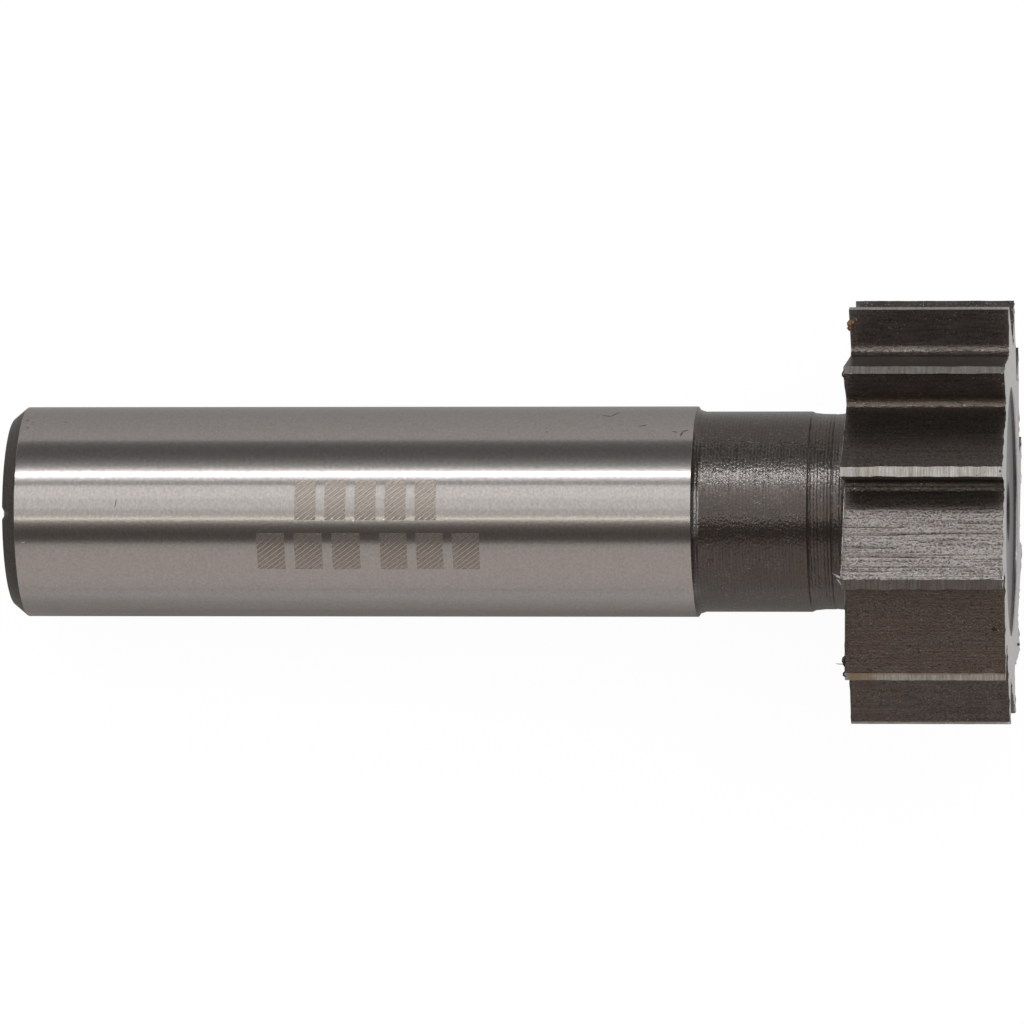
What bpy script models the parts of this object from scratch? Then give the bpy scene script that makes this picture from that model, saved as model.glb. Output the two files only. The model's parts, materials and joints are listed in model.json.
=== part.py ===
"""A woodruff keyseat cutter: shank, neck and toothed head, made from one piece of tool steel."""

import math

import bmesh
import bpy
from mathutils import Matrix, Vector

MM = 0.001

# Shank, measured from its end face along the axis
SHANK_DIAMETER = 12.7 * MM
SHANK_LENGTH = 41.6 * MM
SHANK_CHAMFER_LENGTH = 0.83 * MM
SHANK_CHAMFER_DEPTH = 0.7 * MM

# Neck, from the shank's shoulder to the head, with a slightly thinner stretch beside the head
NECK_LENGTH = 9.36 * MM
NECK_DIAMETER = 12.08 * MM
NECK_STEP_LENGTH = 0.45 * MM
RELIEF_DIAMETER = 11.77 * MM
RELIEF_LENGTH = 1.8 * MM
RELIEF_SLOPE_LENGTH = 0.6 * MM
NECK_FILLET = 1.0 * MM

# Head, over the tooth tips; both faces are ground slightly hollow
CUTTER_WIDTH = 9.54 * MM
CUTTER_DIAMETER = 25.8 * MM
BACK_DISH = 0.17 * MM
FRONT_DISH = 0.1 * MM
RECESS_DIAMETER = 15.4 * MM
RECESS_DEPTH = 0.22 * MM

# Teeth
TOOTH_COUNT = 12
LAND_WIDTH = 0.6 * MM
LAND_RELIEF = math.radians(5.5)
RAKE_ANGLE = math.radians(4.0)
GULLET_DEPTH = 2.88 * MM
GULLET_RADIUS = 0.4 * MM

# Centre drillings in both ends
CENTRE_MOUTH_DIAMETER = 3.7 * MM
CENTRE_PILOT_DIAMETER = 1.6 * MM
CENTRE_PILOT_LENGTH = 1.6 * MM
CENTRE_ANGLE = math.radians(60.0)
DRILL_POINT_ANGLE = math.radians(118.0)

# Fineness of the round surfaces
TURNING_STEPS = 72
FILLET_SEGMENTS = 5
SMOOTH_ANGLE = math.radians(25.0)
FILLET_SHARE = 0.95
WELD_DISTANCE = 0.0001 * MM

# Stock on the blank's rim, and how far the gullets' cutter reaches past the blank
RIM_STOCK = 0.5 * MM
CUTTER_REACH = 0.5 * MM

STEEL_COLOUR = (0.42, 0.40, 0.38, 1.0)
STEEL_ROUGHNESS = 0.35
STEEL_METALLIC = 1.0

TIP_RADIUS = CUTTER_DIAMETER / 2
PITCH = 2 * math.pi / TOOTH_COUNT
HEAD_START = SHANK_LENGTH + NECK_LENGTH
HEAD_END = HEAD_START + CUTTER_WIDTH


def polar(radius, angle):
    """The point (y, z) at an angle that grows from +Z towards +Y."""
    return Vector((radius * math.sin(angle), radius * math.cos(angle)))


def turned(point, angle):
    """A point (y, z) turned about the axis from +Z towards +Y."""
    return polar(point.length, math.atan2(point.x, point.y) + angle)


def fillet(corner, along, beyond, radius, segments):
    """Points of an arc that rounds a corner between two neighbours, no wider than its walls allow."""
    arm_in = (along - corner).normalized()
    arm_out = (beyond - corner).normalized()
    half = arm_in.angle(arm_out) / 2
    shorter_wall = min((along - corner).length, (beyond - corner).length)
    reach = min(radius / math.tan(half), FILLET_SHARE * shorter_wall)
    radius = reach * math.tan(half)
    centre = corner + (arm_in + arm_out).normalized() * radius / math.sin(half)
    start = corner + arm_in * reach - centre
    sweep = start.angle_signed(corner + arm_out * reach - centre)
    return [centre + Matrix.Rotation(-sweep * i / segments, 2) @ start for i in range(segments + 1)]


def heel_point():
    """The back end of the land behind a cutting edge that points along +Z."""
    return Vector((LAND_WIDTH, TIP_RADIUS - LAND_WIDTH * math.tan(LAND_RELIEF)))


def gullet_points():
    """One V gullet with a round root, from the heel of the tooth before it to the cutting edge on +Z."""
    edge = Vector((0, TIP_RADIUS))
    heel = turned(heel_point(), -PITCH)
    corner = Vector((GULLET_DEPTH * math.tan(RAKE_ANGLE), TIP_RADIUS - GULLET_DEPTH))
    return [heel, *fillet(corner, heel, edge, GULLET_RADIUS, FILLET_SEGMENTS), edge]


def first_tooth_angle():
    """Turns the head until one gullet's mouth, heel to edge, faces straight down."""
    heel = turned(heel_point(), -PITCH)
    mouth = Vector((0, TIP_RADIUS)) - heel
    facing = math.atan2(-mouth.y, mouth.x)
    return math.pi - facing


def mouth_depth():
    """How far below the axis that gullet's mouth lies."""
    return -turned(Vector((0, TIP_RADIUS)), first_tooth_angle()).y


def centre_drilling(face, inwards):
    """Profile of a centre drilling, from its tip on the axis to its mouth in a face."""
    mouth = CENTRE_MOUTH_DIAMETER / 2
    pilot = CENTRE_PILOT_DIAMETER / 2
    cone = (mouth - pilot) / math.tan(CENTRE_ANGLE / 2)
    bottom = cone + CENTRE_PILOT_LENGTH
    tip = bottom + pilot / math.tan(DRILL_POINT_ANGLE / 2)
    return [
        (face + inwards * tip, 0),
        (face + inwards * bottom, pilot),
        (face + inwards * cone, pilot),
        (face, mouth),
    ]


def dished(at_tip, dish, radius, inwards):
    """Where a hollow-ground face lies at a radius: level with the tips, lower towards the axis."""
    return at_tip + inwards * dish * (1 - radius / TIP_RADIUS) / (1 - RELIEF_DIAMETER / CUTTER_DIAMETER)


def blank_profile():
    """Outline (x, r) of the turned blank, from the shank's centre drilling to the head's."""
    shank = SHANK_DIAMETER / 2
    neck = NECK_DIAMETER / 2
    relief = RELIEF_DIAMETER / 2
    recess = RECESS_DIAMETER / 2
    rim = TIP_RADIUS + RIM_STOCK
    foot = relief + NECK_FILLET
    face_x = dished(HEAD_START, BACK_DISH, foot, 1)
    front_x = dished(HEAD_END, FRONT_DISH, recess, -1)
    recess_x = front_x - RECESS_DEPTH
    relief_x = HEAD_START - RELIEF_LENGTH
    points = centre_drilling(0, 1)
    points += [(0, shank - SHANK_CHAMFER_DEPTH), (SHANK_CHAMFER_LENGTH, shank)]
    points += [(SHANK_LENGTH, shank), (SHANK_LENGTH + NECK_STEP_LENGTH, neck)]
    points += [(relief_x - RELIEF_SLOPE_LENGTH, neck), (relief_x, relief)]
    corner = Vector((face_x, relief))
    neck_end = Vector((relief_x, relief))
    rim_corner = Vector((face_x, rim))
    points += [tuple(point) for point in fillet(corner, neck_end, rim_corner, NECK_FILLET, FILLET_SEGMENTS)]
    points += [(dished(HEAD_START, BACK_DISH, rim, 1), rim)]
    points += [(dished(HEAD_END, FRONT_DISH, rim, -1), rim)]
    points += [(front_x, recess), (recess_x, recess)]
    points += reversed(centre_drilling(recess_x, -1))
    return points


def new_object(name, bm):
    """Makes a smooth-shaded object of a bmesh whose faces point outwards."""
    bmesh.ops.recalc_face_normals(bm, faces=bm.faces)
    mesh = bpy.data.meshes.new(name)
    bm.to_mesh(mesh)
    bm.free()
    mesh.shade_smooth()
    mesh.set_sharp_from_angle(angle=SMOOTH_ANGLE)
    obj = bpy.data.objects.new(name, mesh)
    bpy.context.scene.collection.objects.link(obj)
    return obj


def turn_blank():
    """Spins the blank's outline about its axis, which runs along +X."""
    bm = bmesh.new()
    verts = [bm.verts.new((x, 0, r)) for x, r in blank_profile()]
    edges = [bm.edges.new(pair) for pair in zip(verts, verts[1:])]
    bmesh.ops.spin(bm, geom=verts + edges, cent=(0, 0, 0), axis=(1, 0, 0),
                   angle=2 * math.pi, steps=TURNING_STEPS, use_merge=True)
    bmesh.ops.remove_doubles(bm, verts=bm.verts, dist=WELD_DISTANCE)
    return new_object("keyseat_cutter", bm)


def make_gullet_ring():
    """A ring round the head whose inner wall is the toothed outline: it mills all the gullets."""
    bm = bmesh.new()
    start = HEAD_START - CUTTER_REACH
    outline = [turned(point, first_tooth_angle() + PITCH * i)
               for i in range(TOOTH_COUNT) for point in gullet_points()]
    rim_radius = TIP_RADIUS + RIM_STOCK + CUTTER_REACH
    rim = [polar(rim_radius, 2 * math.pi * i / TURNING_STEPS) for i in range(TURNING_STEPS)]
    for loop in (outline, rim):
        verts = [bm.verts.new((start, point.x, point.y)) for point in loop]
        for pair in zip(verts, verts[1:] + verts[:1]):
            bm.edges.new(pair)
    bmesh.ops.triangle_fill(bm, edges=bm.edges, use_beauty=True)
    extruded = bmesh.ops.extrude_face_region(bm, geom=bm.faces[:])
    moved = [item for item in extruded["geom"] if isinstance(item, bmesh.types.BMVert)]
    bmesh.ops.translate(bm, verts=moved, vec=(CUTTER_WIDTH + 2 * CUTTER_REACH, 0, 0))
    ring = new_object("gullet_ring", bm)
    ring.hide_render = True
    ring.display_type = "WIRE"
    return ring


def mill_gullets(cutter):
    """Cuts every gullet at once with the toothed ring."""
    ring = make_gullet_ring()
    ring.parent = cutter
    mill = cutter.modifiers.new("mill_gullets", "BOOLEAN")
    mill.operation = "DIFFERENCE"
    mill.solver = "EXACT"
    mill.object = ring


def steel():
    """The photographed colour, roughness and metal of the bare steel."""
    material = bpy.data.materials.new("tool_steel")
    material.use_nodes = True
    shader = material.node_tree.nodes["Principled BSDF"]
    shader.inputs["Base Color"].default_value = STEEL_COLOUR
    shader.inputs["Roughness"].default_value = STEEL_ROUGHNESS
    shader.inputs["Metallic"].default_value = STEEL_METALLIC
    return material


def lay_down(cutter):
    """Lays the cutter on its shank's end and two teeth, with its box centred over the origin."""
    drop = mouth_depth() - SHANK_DIAMETER / 2
    tilt = math.atan2(drop, HEAD_START - SHANK_CHAMFER_LENGTH)
    cutter.rotation_euler = (0, -tilt, 0)
    bpy.context.view_layer.update()
    finished = cutter.evaluated_get(bpy.context.evaluated_depsgraph_get())
    corners = [finished.matrix_world @ vertex.co for vertex in finished.data.vertices]
    low = Vector([min(corner[i] for corner in corners) for i in range(3)])
    high = Vector([max(corner[i] for corner in corners) for i in range(3)])
    cutter.location = (-(low.x + high.x) / 2, -(low.y + high.y) / 2, -low.z)


for leftover in list(bpy.data.objects):
    bpy.data.objects.remove(leftover)

cutter = turn_blank()
cutter.data.materials.append(steel())
mill_gullets(cutter)
lay_down(cutter)
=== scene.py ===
import json
import math

import bpy
import numpy as np
from mathutils import Matrix, Vector


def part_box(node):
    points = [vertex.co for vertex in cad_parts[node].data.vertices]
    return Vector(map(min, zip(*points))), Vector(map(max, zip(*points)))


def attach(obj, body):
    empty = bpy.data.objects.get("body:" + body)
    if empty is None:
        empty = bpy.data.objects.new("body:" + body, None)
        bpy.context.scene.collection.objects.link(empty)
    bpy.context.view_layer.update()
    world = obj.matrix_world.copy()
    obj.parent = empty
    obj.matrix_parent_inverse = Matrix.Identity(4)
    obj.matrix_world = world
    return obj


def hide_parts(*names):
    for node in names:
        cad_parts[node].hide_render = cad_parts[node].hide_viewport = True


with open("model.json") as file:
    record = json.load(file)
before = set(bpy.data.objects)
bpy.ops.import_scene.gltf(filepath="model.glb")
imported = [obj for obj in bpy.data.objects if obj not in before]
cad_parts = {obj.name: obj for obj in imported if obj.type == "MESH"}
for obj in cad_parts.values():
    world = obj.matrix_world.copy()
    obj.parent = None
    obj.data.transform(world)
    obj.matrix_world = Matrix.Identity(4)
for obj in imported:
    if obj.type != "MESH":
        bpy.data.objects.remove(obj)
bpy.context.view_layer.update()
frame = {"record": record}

mm = 0.001
scene = bpy.context.scene
scene.view_settings.view_transform = "Standard"

# the cutter's own axes: x runs from the shank's end face to the head, z is the side that lies uppermost
endMount = frame["record"]["mounts"][0]
lowCorner, highCorner = (Vector(corner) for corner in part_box("keyseat_cutter"))
alongCutter = -Vector(endMount["axis"]).normalized()
acrossCutter = Vector((0, 1, 0))
aboveCutter = alongCutter.cross(acrossCutter)
shankEnd = Vector(endMount["pos_m"])
shankEnd.y = (lowCorner.y + highCorner.y) / 2
cutterTurn = Matrix((alongCutter, acrossCutter, aboveCutter)).transposed()
cutterPlace = Matrix.Translation(shankEnd) @ cutterTurn.to_4x4()


def linearColour(hexCode):
    # sRGB hex to linear: the low end is a straight line, the rest a 2.4 power
    parts = [int(hexCode[i:i + 2], 16) / 255 for i in (1, 3, 5)]
    return [c / 12.92 if c <= 0.04045 else ((c + 0.055) / 1.055) ** 2.4 for c in parts] + [1.0]


def addNode(tree, kind, inputs=None, **settings):
    # one node, its settings, then its sockets: a value is set, and an output, or a node's first one in use, is linked.
    # a Mix node takes its share at 0, and two values at 2 and 3 or two colours at 6 and 7
    node = tree.nodes.new("ShaderNode" + kind)
    for name, value in settings.items():
        setattr(node, name, value)
    for socket, value in (inputs or {}).items():
        if isinstance(value, bpy.types.Node):
            value = next(output for output in value.outputs if output.enabled)
        if isinstance(value, bpy.types.NodeSocket):
            tree.links.new(value, node.inputs[socket])
        else:
            node.inputs[socket].default_value = value
    return node


def newMaterial(name):
    # an empty material and its node tree
    material = bpy.data.materials.new(name)
    material.use_nodes = True
    tree = material.node_tree
    tree.nodes.clear()
    return material, tree


def rampStops(node, stops):
    # places a colour ramp's stops: (position, hex colour or grey value)
    elements = node.color_ramp.elements
    while len(elements) < len(stops):
        elements.new(0.5)
    for element, (position, colour) in zip(elements, stops):
        element.position = position
        element.color = linearColour(colour) if isinstance(colour, str) else [colour] * 3 + [1]
    return node


# camera: a long lens over the cutter, looking almost straight down, as measured from the photograph
cameraView = {
    "yaw": math.radians(5.81),       # the head end is nearer the lens than the shank end by this much
    "roll": math.radians(4.86),      # how far round the cutter's axis the lens stands
    "distance": 549.7,               # mm from the lens to the axis, 30 mm from the shank's end
    "aimAlong": 30.0,
    "aimRight": -0.276,              # where that point of the axis lies off the picture's middle
    "aimUp": 0.021,
    "lens": 319.66,
    "sensor": 36.0,
    "near": 0.01,                    # m, what the lens takes in
    "far": 20.0,
}


def placeCamera(view):
    # the camera's right, up and back axes are written in the cutter's axes, then carried to the world
    facing = Vector((0, math.sin(view["roll"]), math.cos(view["roll"])))
    along = Vector((1, 0, 0))
    right = math.cos(view["yaw"]) * along - math.sin(view["yaw"]) * facing
    back = math.sin(view["yaw"]) * along + math.cos(view["yaw"]) * facing
    up = back.cross(right)
    aim = Vector((view["aimAlong"], 0, 0))
    eye = aim - view["aimRight"] * right - view["aimUp"] * up + view["distance"] * back
    turn = Matrix((right, up, back)).transposed()
    data = bpy.data.cameras.new("camera")
    data.lens = view["lens"]
    data.sensor_width = view["sensor"]
    data.sensor_fit = "HORIZONTAL"
    data.clip_start = view["near"]
    data.clip_end = view["far"]
    camera = bpy.data.objects.new("camera", data)
    scene.collection.objects.link(camera)
    camera.matrix_world = cutterPlace @ Matrix.Translation(eye * mm) @ turn.to_4x4()
    scene.camera = camera


placeCamera(cameraView)
print("camera placed")

# studio: long soft boxes that run beside the cutter. "around" and "wide" are degrees round its axis, counted from the
# lens, and the round shank mirrors each box at half that angle. "long" is in metres
studio = {
    "stripLight": {"around": 41.6, "wide": 4.2, "long": 1.0, "brightness": 3.8, "colour": "#FAFCFF"},
    "topLight": {"around": 21.8, "wide": 15.0, "long": 1.7, "brightness": 1.0, "colour": "#FFFEFD"},
    "topLightTail": {"around": 8.5, "wide": 11.6, "long": 1.7, "brightness": 0.82, "colour": "#FFFEFC"},
    "lowLight": {"around": -2.3, "wide": 10.0, "long": 1.7, "brightness": 0.6, "colour": "#FFFDFA"},
    "edgeLight": {"around": -7.7, "wide": 1.2, "long": 1.7, "brightness": 2.5, "colour": "#FFFAE8"},
}
lightDistance = 0.9      # m
cutterMiddle = cutterPlace @ Vector((cameraView["aimAlong"] * mm, 0, 0))


def addSoftBox(name, light):
    # an area light's power is its brightness times its area times pi
    turn = math.radians(light["around"]) + cameraView["roll"]
    towards = cutterTurn @ Vector((0, math.sin(turn), math.cos(turn)))
    width = 2 * lightDistance * math.tan(math.radians(light["wide"]) / 2)
    data = bpy.data.lights.new(name, "AREA")
    data.shape = "RECTANGLE"
    data.size = light["long"]
    data.size_y = width
    data.energy = light["brightness"] * light["long"] * width * math.pi
    data.color = linearColour(light["colour"])[:3]
    lamp = bpy.data.objects.new(name, data)
    scene.collection.objects.link(lamp)
    side = towards.cross(alongCutter)
    lamp.matrix_world = Matrix.Translation(cutterMiddle + towards * lightDistance) @ Matrix(
        (alongCutter, side, towards)).transposed().to_4x4()
    lamp.visible_camera = False


for lightName, lightSettings in studio.items():
    addSoftBox(lightName, lightSettings)


# what the metal sees past the soft boxes: brightness at degrees round the axis from the lens. from 33 to 53 degrees it
# also draws the strip light's soft edges. a grey that is near the photo's is a hex colour, any other a plain value
room = {
    "white": "#FFFFFF",
    "around": [(-180, 0.42), (-100, "#BEB8B4"), (-80, "#C9C3BF"), (-56, "#CBC4C0"), (-43, "#C8C2BE"),
               (-36, "#B9B3B0"), (-33.5, 0.17), (-30, "#64605C"), (-25, "#5C5855"), (-21, "#625D5A"),
               (-17, "#726D69"), (-14, "#89837F"), (-11.5, 0.42), (-9.6, 0.58), (-8.2, 0.58), (-7.4, 0.14),
               (28.8, 0.14), (29.6, 0.36), (33.5, 0.5), (35.6, 0.8), (37.6, 1.6), (45.6, 1.5),
               (47.8, 0.9), (50.4, 0.52), (53, 0.41), (57, 0.27), (62, 0.18), (70, 0.145), (77, 0.165),
               (82, 0.22), (86, 0.32), (180, 0.42)],
    "ends": [(0.0, 0.44), (0.16, 0.42), (0.28, 0.2), (1.0, 0.16)],   # brightness by height, past the lights' ends
    "endsFrom": 0.36,                # how far along the axis a direction leans where the ends take over
    "endsFull": 0.5,
}


def makeRoom(settings):
    # the camera sees plain white. the metal sees a ramp of the angle round the cutter's axis, and towards
    # the two ends of the axis another ramp, of the height above the table
    world = bpy.data.worlds.new("room")
    scene.world = world
    world.use_nodes = True
    tree = world.node_tree
    tree.nodes.clear()
    direction = addNode(tree, "TexCoord").outputs["Generated"]
    along, across, above = (
        addNode(tree, "VectorMath", {0: direction, 1: tuple(axis)}, operation="DOT_PRODUCT")
        for axis in (alongCutter, acrossCutter, aboveCutter))
    angle = addNode(tree, "Math", {0: across, 1: above}, operation="ARCTAN2")
    turn = addNode(tree, "MapRange", {"Value": angle, "From Min": -math.pi, "From Max": math.pi})
    roll = math.degrees(cameraView["roll"])
    aroundGrey = rampStops(addNode(tree, "ValToRGB", {"Fac": turn}),
                           [(min(1, (a + roll + 180) / 360), grey) for a, grey in settings["around"]])
    endGrey = rampStops(addNode(tree, "ValToRGB", {"Fac": above}), settings["ends"])
    lean = addNode(tree, "Math", {0: along}, operation="ABSOLUTE")
    endShare = addNode(tree, "MapRange", {
        "Value": lean, "From Min": settings["endsFrom"], "From Max": settings["endsFull"]})
    walls = addNode(tree, "Mix", {0: endShare, 6: aroundGrey, 7: endGrey}, data_type="RGBA")
    seen = addNode(tree, "LightPath")
    roomLight = addNode(tree, "Background", {"Color": walls, "Strength": 1.0})
    whiteLight = addNode(tree, "Background", {"Color": linearColour(settings["white"]), "Strength": 1.0})
    mix = addNode(tree, "MixShader", {0: seen.outputs["Is Camera Ray"], 1: roomLight, 2: whiteLight})
    addNode(tree, "OutputWorld", {"Surface": mix})


makeRoom(room)

# the table's paint, how much plain white the camera sees over it, and how much the metal does: a painted glow that
# only the metal sees, on the table beside the cutter on both sides and beyond its head, by metres across and along
floorSettings = {
    "size": 3.0, "below": 0.02 * mm, "paint": "#CBC9C7", "cameraWhite": 0.82, "cameraGlow": 1.16,
    "acrossReach": 0.06, "paintedGlowAcross": [(0.0, 0.27), (0.17, 0.18), (0.3, 0.05), (0.37, 0.0), (0.5, 0.0),
                                         (0.6, 0.1), (0.7, 0.17), (1.0, 0.23)],
    "paintedGlowHead": 0.54, "headFrom": 0.0295, "headFull": 0.0315,
}


def makeFloor(settings):
    # matt white table: camera rays are lifted to white, and its own shading under that keeps the shadow. the share of
    # plain white is "cameraWhite" to the camera, and to the metal the larger of the ramp across and the head's glow,
    # a painted light that the table gives off only to reflections
    half = settings["size"] / 2
    mesh = bpy.data.meshes.new("table")
    mesh.from_pydata([(-half, -half, 0), (half, -half, 0), (half, half, 0), (-half, half, 0)], [], [(0, 1, 2, 3)])
    table = bpy.data.objects.new("table", mesh)
    scene.collection.objects.link(table)
    table.location.z = lowCorner.z - settings["below"]
    material, tree = newMaterial("mattWhiteTable")
    paint = addNode(tree, "BsdfDiffuse", {"Color": linearColour(settings["paint"])})
    seen = addNode(tree, "LightPath").outputs
    level = addNode(tree, "MapRange", {
        "Value": seen["Is Camera Ray"], "To Min": 1.0, "To Max": settings["cameraGlow"]})
    glow = addNode(tree, "Emission", {"Color": linearColour(room["white"]), "Strength": level})
    byCamera = addNode(tree, "Math", {
        0: seen["Is Camera Ray"], 1: settings["cameraWhite"]}, operation="MULTIPLY")
    place = addNode(tree, "SeparateXYZ", {"Vector": addNode(tree, "TexCoord").outputs["Object"]})
    # painted light: the glow the metal sees on the table, by how far it lies across the cutter and past its head
    reach = settings["acrossReach"]
    share = addNode(tree, "MapRange", {"Value": place.outputs["Y"], "From Min": -reach, "From Max": reach})
    paintedGlowBeside = rampStops(addNode(tree, "ValToRGB", {"Fac": share}), settings["paintedGlowAcross"])
    paintedGlowBeyond = addNode(tree, "MapRange", {
        "Value": place.outputs["X"], "From Min": settings["headFrom"], "From Max": settings["headFull"],
        "To Max": settings["paintedGlowHead"]})
    # painted light on the table, seen only in the metal
    lit = addNode(tree, "Math", {0: paintedGlowBeside, 1: paintedGlowBeyond}, operation="MAXIMUM")
    mirrored = addNode(tree, "Math", {
        0: seen["Is Glossy Ray"], 1: seen["Is Transmission Ray"]}, operation="MAXIMUM")
    white = addNode(tree, "Math", {0: mirrored, 1: lit, 2: byCamera}, operation="MULTIPLY_ADD")
    mix = addNode(tree, "MixShader", {0: white, 1: paint, 2: glow})
    addNode(tree, "OutputMaterial", {"Surface": mix})
    mesh.materials.append(material)


makeFloor(floorSettings)
print("studio lit")

# the cutter's sizes in mm, along the axis from the shank's end face and out from the axis
turning = {
    "shank": 6.35, "shankEnd": 41.6, "chamferLong": 0.83, "chamferDeep": 0.7,
    "neck": 6.04, "rimStart": 41.72, "rimRadius": 6.16, "neckStart": 42.08,
    "relief": 5.885, "reliefStart": 48.5, "reliefStep": 0.19, "reliefEnd": 49.3, "stepShare": 0.6,
    "toolMark": 50.02, "toolMarkWide": 0.2, "toolMarkDeep": 0.03,
    "neckFillet": 0.85, "headStart": 50.96, "headEnd": 60.5, "backDish": 0.17, "frontDish": 0.02,
    "recess": 7.5, "recessDeep": 0.22, "rootRing": 9.4, "groundFrom": 6.565,
    "centreMouth": 1.85, "centrePilot": 0.8, "pilotLong": 1.6, "coneHalf": math.radians(30),
    "tipHalf": math.radians(59),
    # how fine the surface is: mm between rows, rows over the teeth and on each face, and steps round a corner
    "rowStep": 0.9, "sideRows": 49, "faceRows": 6, "wideCorner": 0.25, "wideSteps": 6, "smallSteps": 3,
    "sharpFrom": math.radians(28),
}
# one pitch of the teeth; "leave" is degrees behind the edge where the rake and land leave the root ring
teeth = {
    "count": 12, "tip": 12.9, "land": 0.6, "relief": math.radians(5.5), "rake": math.radians(4.0),
    "depth": 2.93, "rootRadius": 0.5, "edgeBreak": 0.025, "leave": (1.0, 3.5, 5.7),
    "columns": {"back": 17, "root": 6, "rake": 6, "land": 3},
}
# small faults of the real one, in mm: wavy land edges, burrs on both faces' rims, a nick in the shank's rim.
# "nickInwards" is its depth towards the axis as a share of its depth along it, "rimBreak" a share of the head's width
faults = {
    "seed": 8, "edgeWave": 0.014, "backBurr": 0.05, "frontBurr": 0.09, "rimBreak": 0.0025,
    "nickAround": math.radians(3.7), "nickWide": math.radians(3.4), "nickDeep": 0.24, "nickReach": 0.55,
    "nickInwards": 0.6,
}
# how the teeth differ: which one (0 has its edge nearest the lens, 1 the next one up the picture), which part, and how
# much of it is temper brown, rubbed bare or thick with black scale. "along" is from where to where along the cutter, if
# not the whole head, and "spare" the share of the part's columns, at the root, that stays as it was
toothWear = [
    {"tooth": -1, "part": "land", "stain": 0.2},
    {"tooth": -2, "part": "land", "along": (50.9, 52.9), "stain": 0.8},
    {"tooth": -2, "part": "back", "stain": 0.9, "bare": 0.1},
    {"tooth": -3, "part": "back", "along": (50.9, 54.5), "stain": 0.2},
    {"tooth": 1, "part": "land", "scale": 0.33},
    # partly painted light: this back is rubbed bare, and the lighter colour is kept off its root end, where tooth 0
    # shades it
    {"tooth": -1, "part": "back", "bare": 0.86, "spare": 0.2},
    {"tooth": -1, "part": "back", "along": (52.8, 57.5), "stain": 0.2, "spare": 0.2},
    {"tooth": 0, "part": "root", "scale": 0.35},
    {"tooth": 1, "part": "root", "stain": 0.5, "bare": 0.03},
    {"tooth": 2, "part": "root", "bare": 0.15},
    {"tooth": 2, "part": "rake", "bare": 0.1},
    {"tooth": 3, "part": "rake", "scale": 0.6},
]
wearEdges = {"wholeHead": (50.9, 61.0), "endFade": 0.4, "rootFade": 0.1}   # mm, mm, share of the part's columns
nearestTooth = 6     # the grid's own number of the tooth whose edge is nearest the lens
# painted highlights: a lighter stripe along the neck where the strip light's highlight falls, and one on the rim
# behind the shank on the side that faces the lens, by mm along the cutter and radians round it from the lens.
# "bare" is at the middle, and over 1 it widens the part that is wholly lighter
paintedHighlightStripes = [
    {"along": (42.1, 50.9), "around": math.radians(26.5), "half": math.radians(18), "bare": 0.6},
    {"along": (41.66, 42.06), "around": 0.0, "half": math.radians(15), "bare": 2.4},
]


def turned(points, angle):
    # turns points (across, up) about the axis, from up towards across
    c, s = np.cos(angle), np.sin(angle)
    return np.stack([points[..., 0] * c + points[..., 1] * s, points[..., 1] * c - points[..., 0] * s], -1)


def roundCorner(corner, before, after, radius, steps):
    # an arc of the radius that touches both walls of a corner: its centre lies on their bisector
    armIn = (before - corner) / np.linalg.norm(before - corner)
    armOut = (after - corner) / np.linalg.norm(after - corner)
    half = math.acos(np.clip(armIn @ armOut, -1, 1)) / 2
    bisector = (armIn + armOut) / np.linalg.norm(armIn + armOut)
    centre = corner + bisector * radius / math.sin(half)
    start = corner + armIn * radius / math.tan(half) - centre
    end = corner + armOut * radius / math.tan(half) - centre
    sweep = math.atan2(start[0] * end[1] - start[1] * end[0], start @ end)
    angle = math.atan2(start[1], start[0]) + np.linspace(0, sweep, steps + 1)
    return centre + radius * np.stack([np.cos(angle), np.sin(angle)], -1)


def toothPitch(tooth):
    # one pitch of the rim, heel to heel, in the axes of its cutting edge: back, root arc, rake, land.
    # gives the points, the angle where each column leaves the root ring, and which stretch each column starts
    pitch = 2 * math.pi / tooth["count"]
    edge = np.array([0, tooth["tip"]])
    heel = np.array([tooth["land"], tooth["tip"] - tooth["land"] * math.tan(tooth["relief"])])
    heelBefore = turned(heel, -pitch)
    corner = np.array([tooth["depth"] * math.tan(tooth["rake"]), tooth["tip"] - tooth["depth"]])
    root = roundCorner(corner, heelBefore, edge, tooth["rootRadius"], tooth["columns"]["root"])
    leave = np.radians(tooth["leave"])
    rootAngle = math.atan2(*root[0])
    stretches = [
        ("back", heelBefore, root[0], leave[2] - pitch, rootAngle),
        ("root", None, None, rootAngle, leave[0]),
        ("rake", root[-1], edge, leave[0], leave[1]),
        ("land", edge, heel, leave[1], leave[2]),
    ]
    points, angles, kinds = [], [], []
    for kind, (name, start, end, angleStart, angleEnd) in enumerate(stretches):
        count = tooth["columns"][name]
        share = np.linspace(0, 1, count + 1)[:-1]
        points.append(root[:-1] if name == "root" else start + share[:, None] * (end - start))
        angles.append(angleStart + share * (angleEnd - angleStart))
        kinds.append(np.full(count, kind))
    mouth = edge - heelBefore
    firstEdge = math.pi - math.atan2(-mouth[1], mouth[0])
    return np.concatenate(points), np.concatenate(angles), np.concatenate(kinds), firstEdge


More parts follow.
